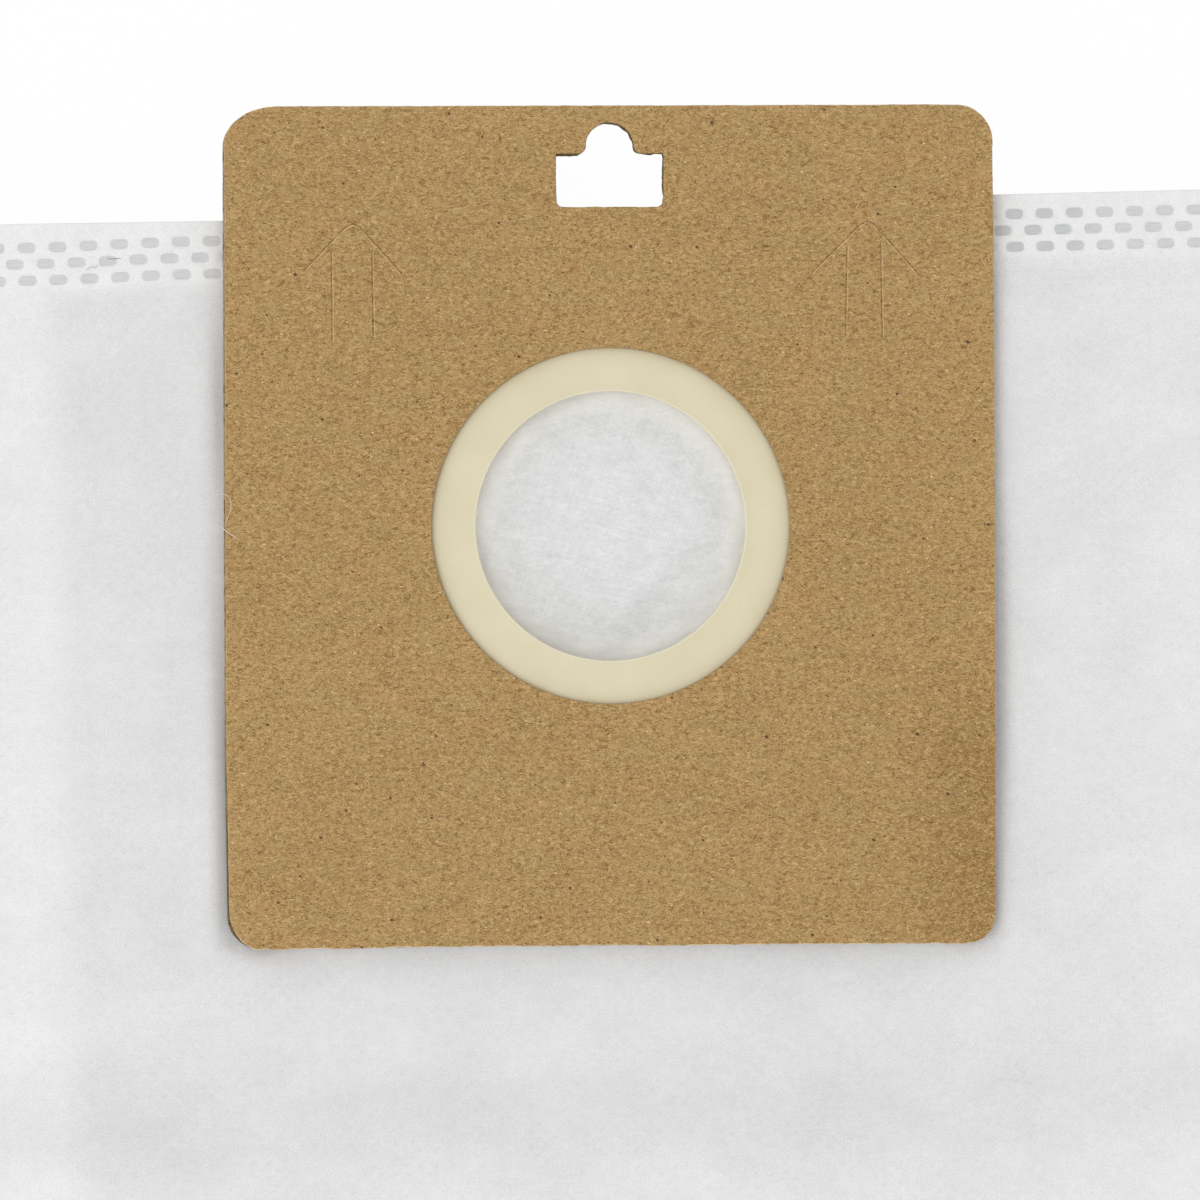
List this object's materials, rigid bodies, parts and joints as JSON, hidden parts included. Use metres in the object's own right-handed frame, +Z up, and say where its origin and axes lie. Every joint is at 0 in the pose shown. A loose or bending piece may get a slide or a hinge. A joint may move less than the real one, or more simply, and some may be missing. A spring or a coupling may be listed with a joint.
{
  "type": "vacuum cleaner dust bag",
  "caption": "Flat gusseted non-woven dust bag with a square kraft board collar, a positioning notch and a round inlet with a rubber sealing membrane.",
  "frame": {"origin": "under the middle of the whole bag's bounding box, on the surface that it lies on", "axes": "+Z up out of the collar's face, +Y along the collar towards its notch, +X to the right of somebody looking down on the collar"},
  "size_m": [0.215, 0.2506, 0.0104],
  "materials": {
    "kraft_board": "uncoated brown kraft board with short dark and pale fibres",
    "rear_board": "uncoated brown board, seen only at its edges",
    "membrane_rubber": "smooth cream rubber, satin",
    "outer_fabric": "white point-bonded non-woven",
    "liner_fleece": "white soft unbonded fleece"
  },
  "bodies": {
    "root": {"front_card": "kraft_board", "rear_card": "rear_board", "seal_membrane": "membrane_rubber", "outer_bag": "outer_fabric", "inner_liner": "liner_fleece"}
  },
  "joints": []
}
